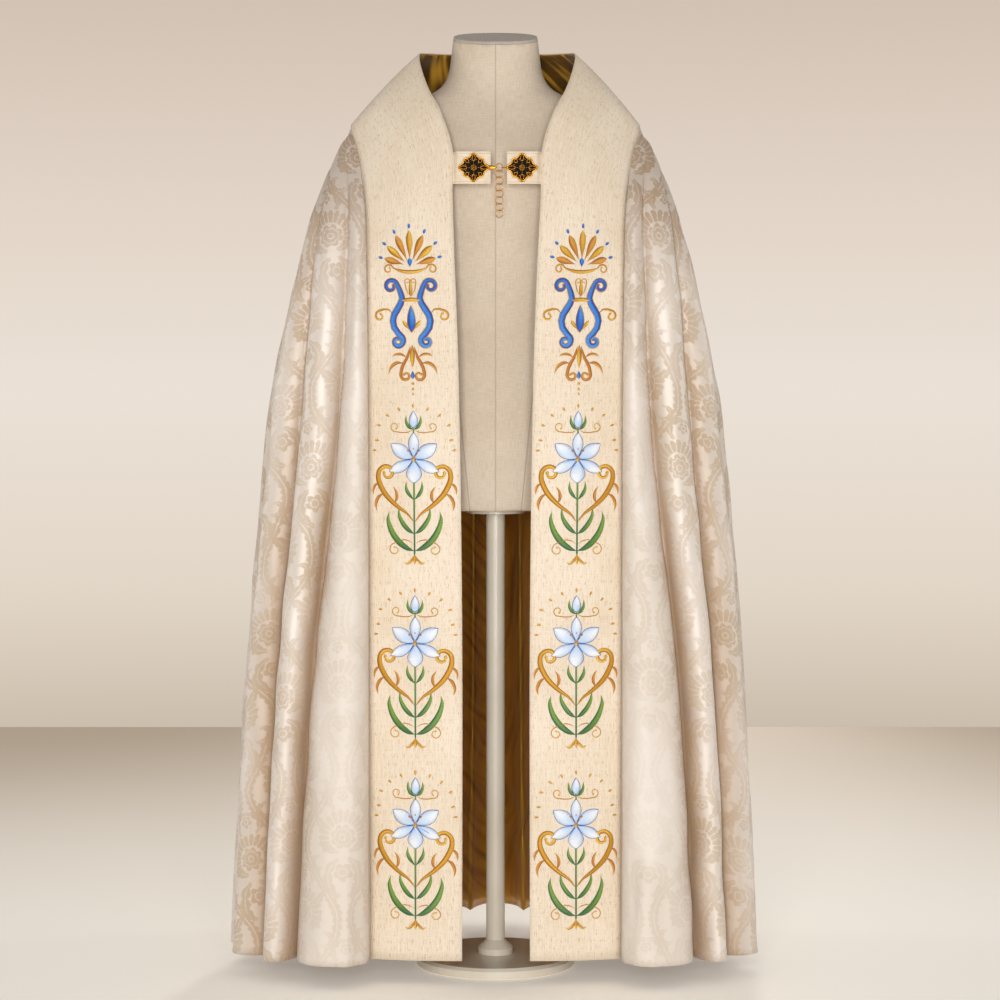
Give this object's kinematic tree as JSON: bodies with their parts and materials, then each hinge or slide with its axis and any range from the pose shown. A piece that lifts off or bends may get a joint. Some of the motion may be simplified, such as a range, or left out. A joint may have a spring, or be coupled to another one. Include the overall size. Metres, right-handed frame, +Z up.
{
  "type": "cope vestment on a dress form",
  "caption": "Half-round damask cope with embroidered linen orphreys, satin-lined collar, filigree clasp and ring chain, standing on a limbless linen dress form with a round base.",
  "frame": {"origin": "centre of the stand base's flat underside, at floor level", "axes": "+Z up; the cope's fronts face -Y; +X is the viewer's right, which the names call right"},
  "size_m": [0.9005, 0.5601, 1.5943],
  "materials": {
    "damask": "ivory silk damask, tone on tone, with a soft sheen",
    "linen": "cream slub linen with golden-brown flecks, embroidered in satin stitch",
    "lining": "dark gold satin",
    "form_linen": "plain unbleached linen, glued on",
    "antique_gold": "antique gold plated cast brass",
    "painted_steel": "cream paint, satin"
  },
  "bodies": {
    "root": {"body": "damask", "orphrey_left": "linen", "orphrey_right": "linen", "collar_lining": "lining", "tab_left": "linen", "tab_right": "linen", "clasp_left": "antique_gold", "clasp_right": "antique_gold", "ring_1": "antique_gold", "form_torso": "form_linen", "form_cap": "form_linen", "stand_pole": "painted_steel", "stand_base": "painted_steel"},
    "chain_ring_2": {"ring_2": "antique_gold"},
    "chain_ring_3": {"ring_3": "antique_gold"},
    "chain_ring_4": {"ring_4": "antique_gold"},
    "chain_ring_5": {"ring_5": "antique_gold"},
    "chain_ring_6": {"ring_6": "antique_gold"},
    "chain_ring_7": {"ring_7": "antique_gold"},
    "chain_ring_8": {"ring_8": "antique_gold"}
  },
  "joints": [
    {"name": "ring_2_swing", "type": "hinge", "parent": "root", "child": "chain_ring_2", "pos_m": [0.0063, -0.1531, 1.34175], "axis": [0.9397, 0.342, 0], "range_deg": [-15, 6]},
    {"name": "ring_3_swing", "type": "hinge", "parent": "chain_ring_2", "child": "chain_ring_3", "pos_m": [0.0063, -0.1531, 1.33095], "axis": [0.9397, -0.342, 0], "range_deg": [-15, 6]},
    {"name": "ring_4_swing", "type": "hinge", "parent": "chain_ring_3", "child": "chain_ring_4", "pos_m": [0.0063, -0.1531, 1.32015], "axis": [0.9397, 0.342, 0], "range_deg": [-15, 6]},
    {"name": "ring_5_swing", "type": "hinge", "parent": "chain_ring_4", "child": "chain_ring_5", "pos_m": [0.0063, -0.1531, 1.30935], "axis": [0.9397, -0.342, 0], "range_deg": [-15, 6]},
    {"name": "ring_6_swing", "type": "hinge", "parent": "chain_ring_5", "child": "chain_ring_6", "pos_m": [0.0063, -0.1531, 1.29855], "axis": [0.9397, 0.342, 0], "range_deg": [-15, 6]},
    {"name": "ring_7_swing", "type": "hinge", "parent": "chain_ring_6", "child": "chain_ring_7", "pos_m": [0.0063, -0.1531, 1.28775], "axis": [0.9397, -0.342, 0], "range_deg": [-15, 6]},
    {"name": "ring_8_swing", "type": "hinge", "parent": "chain_ring_7", "child": "chain_ring_8", "pos_m": [0.0063, -0.1531, 1.27695], "axis": [0.9397, 0.342, 0], "range_deg": [-15, 6]}
  ]
}
